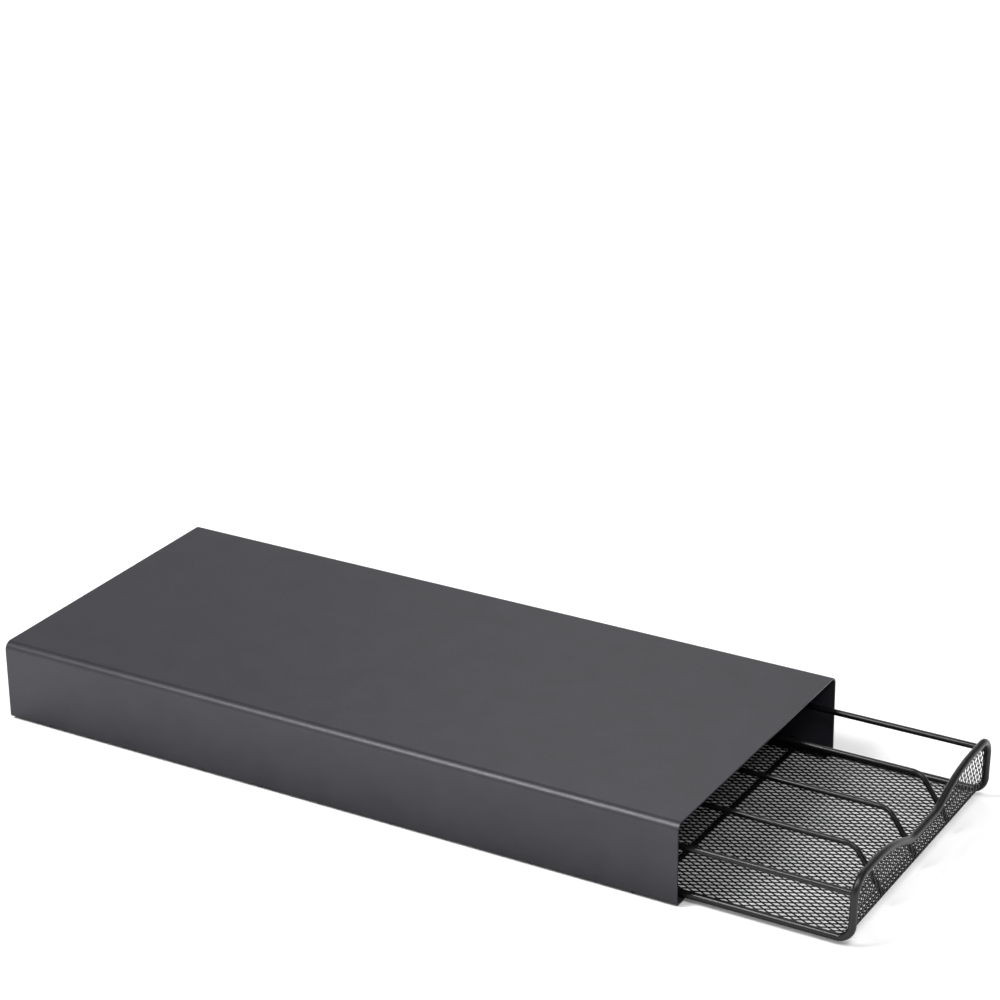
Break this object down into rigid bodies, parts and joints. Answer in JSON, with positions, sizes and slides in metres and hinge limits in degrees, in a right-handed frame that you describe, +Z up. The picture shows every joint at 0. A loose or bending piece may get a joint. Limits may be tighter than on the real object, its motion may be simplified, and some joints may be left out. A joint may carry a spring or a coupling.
{
  "type": "coffee pod drawer",
  "caption": "Low bent-steel stand for a slim coffee machine, with a wire and expanded-mesh drawer in lanes for coffee capsules that slides out of its open front.",
  "frame": {"origin": "on the counter, under the middle of the part with its drawer out by 89 mm", "axes": "+X to the right seen from the open front, +Y to the back, +Z up; the drawer opens towards -Y"},
  "size_m": [0.178, 0.489, 0.045],
  "materials": {
    "housing_coat": "satin charcoal powder coat",
    "wire_coat": "satin black powder coat",
    "mesh_coat": "satin black powder coat",
    "pad_rubber": "matt black rubber"
  },
  "bodies": {
    "housing": {"housing_shell": "housing_coat", "back_panel": "housing_coat", "foot_front_left": "pad_rubber", "foot_front_right": "pad_rubber", "foot_rear_left": "pad_rubber", "foot_rear_right": "pad_rubber"},
    "drawer": {"frame_rod": "wire_coat", "rear_rod": "wire_coat", "upper_rail_left": "wire_coat", "upper_rail_right": "wire_coat", "upper_rail_rear": "wire_coat", "rear_post_left": "wire_coat", "rear_post_right": "wire_coat", "divider_left": "wire_coat", "divider_middle": "wire_coat", "divider_right": "wire_coat", "floor_mesh": "mesh_coat", "front_mesh": "mesh_coat", "cross_wire_front": "wire_coat", "cross_wire_middle": "wire_coat", "cross_wire_rear": "wire_coat"}
  },
  "joints": [
    {"name": "drawer_slide", "type": "slide", "parent": "housing", "child": "drawer", "axis": [0, -1, 0], "range_m": [-0.089, 0.211]}
  ]
}
